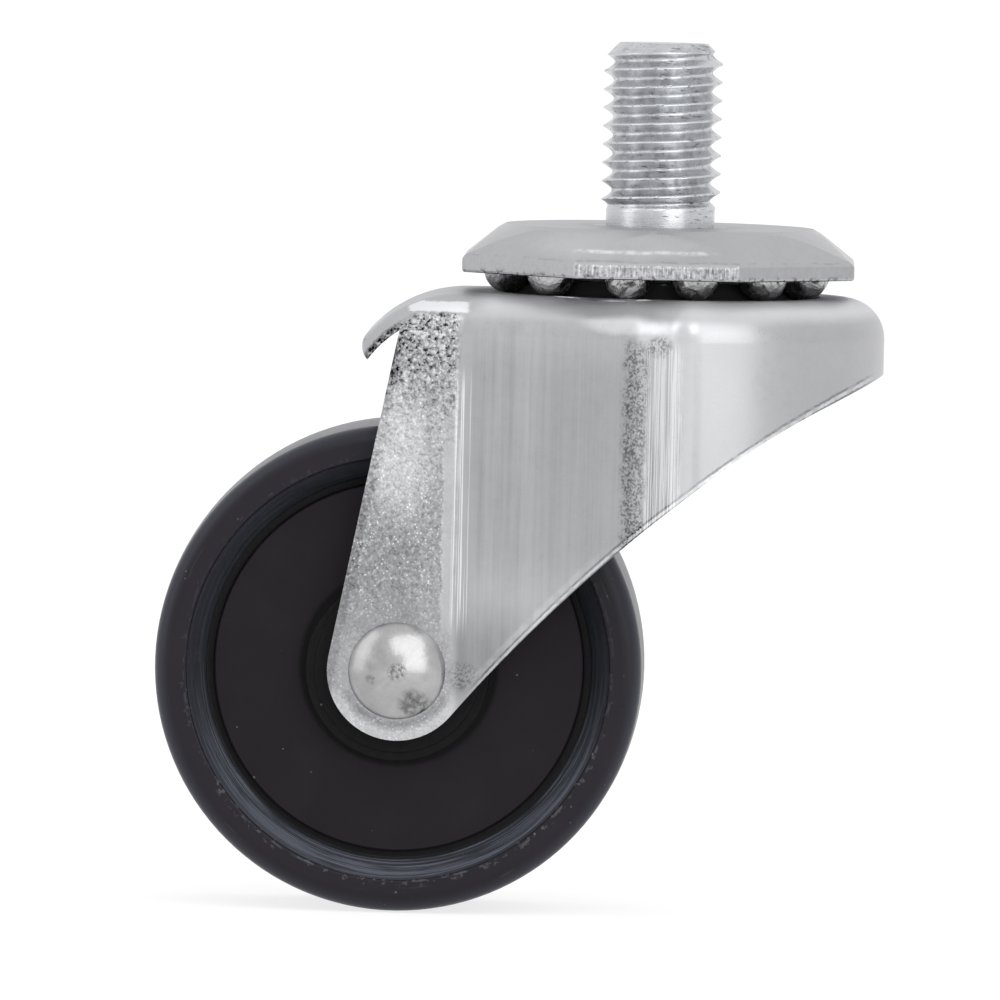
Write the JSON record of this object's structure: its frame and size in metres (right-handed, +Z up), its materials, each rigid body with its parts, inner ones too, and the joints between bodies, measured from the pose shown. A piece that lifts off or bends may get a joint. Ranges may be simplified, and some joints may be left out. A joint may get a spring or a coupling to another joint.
{
  "type": "swivel castor",
  "caption": "Small swivel castor with a threaded stem, a pressed steel fork on two rings of balls, and a plain black plastic wheel.",
  "frame": {"origin": "where the stem's axis crosses the top plate's flat top, the face that seats against the furniture", "axes": "+Z up along the stem, +X towards the fork's nose with the wheel trailing towards -X, +Y along the axle"},
  "size_m": [0.059, 0.0364, 0.0713],
  "materials": {
    "zinc_steel": "zinc plated pressed sheet, mottled and lightly streaked",
    "stem_steel": "bright zinc plated rolled thread",
    "rivet_steel": "bright spun dome",
    "ball_steel": "dark greased steel",
    "black_plastic": "black moulded plastic, half gloss"
  },
  "bodies": {
    "stem": {"threaded_stem": "stem_steel", "top_plate": "zinc_steel", "lower_race": "zinc_steel"},
    "fork": {"fork": "zinc_steel", "axle_rivet": "rivet_steel", "axle_sleeve": "zinc_steel"},
    "wheel": {"wheel": "black_plastic"},
    "upper_balls": {"upper_ball_01": "ball_steel", "upper_ball_02": "ball_steel", "upper_ball_03": "ball_steel", "upper_ball_04": "ball_steel", "upper_ball_05": "ball_steel", "upper_ball_06": "ball_steel", "upper_ball_07": "ball_steel", "upper_ball_08": "ball_steel", "upper_ball_09": "ball_steel", "upper_ball_10": "ball_steel", "upper_ball_11": "ball_steel", "upper_ball_12": "ball_steel"},
    "lower_balls": {"lower_ball_01": "ball_steel", "lower_ball_02": "ball_steel", "lower_ball_03": "ball_steel", "lower_ball_04": "ball_steel", "lower_ball_05": "ball_steel", "lower_ball_06": "ball_steel", "lower_ball_07": "ball_steel", "lower_ball_08": "ball_steel", "lower_ball_09": "ball_steel", "lower_ball_10": "ball_steel", "lower_ball_11": "ball_steel", "lower_ball_12": "ball_steel"}
  },
  "joints": [
    {"name": "swivel", "type": "hinge", "parent": "stem", "child": "fork", "pos_m": [0, 0, 0], "axis": [0, 0, 1], "continuous": true},
    {"name": "wheel_spin", "type": "hinge", "parent": "fork", "child": "wheel", "pos_m": [-0.02045, 0, -0.03633], "axis": [0, 1, 0], "continuous": true},
    {"name": "upper_ball_orbit", "type": "hinge", "parent": "stem", "child": "upper_balls", "pos_m": [0, 0, 0], "axis": [0, 0, 1], "continuous": true},
    {"name": "lower_ball_orbit", "type": "hinge", "parent": "stem", "child": "lower_balls", "pos_m": [0, 0, 0], "axis": [0, 0, 1], "continuous": true}
  ],
  "couplings": [
    {"joint": "upper_ball_orbit", "follows": "swivel", "ratio": 0.5},
    {"joint": "lower_ball_orbit", "follows": "swivel", "ratio": 0.5}
  ]
}
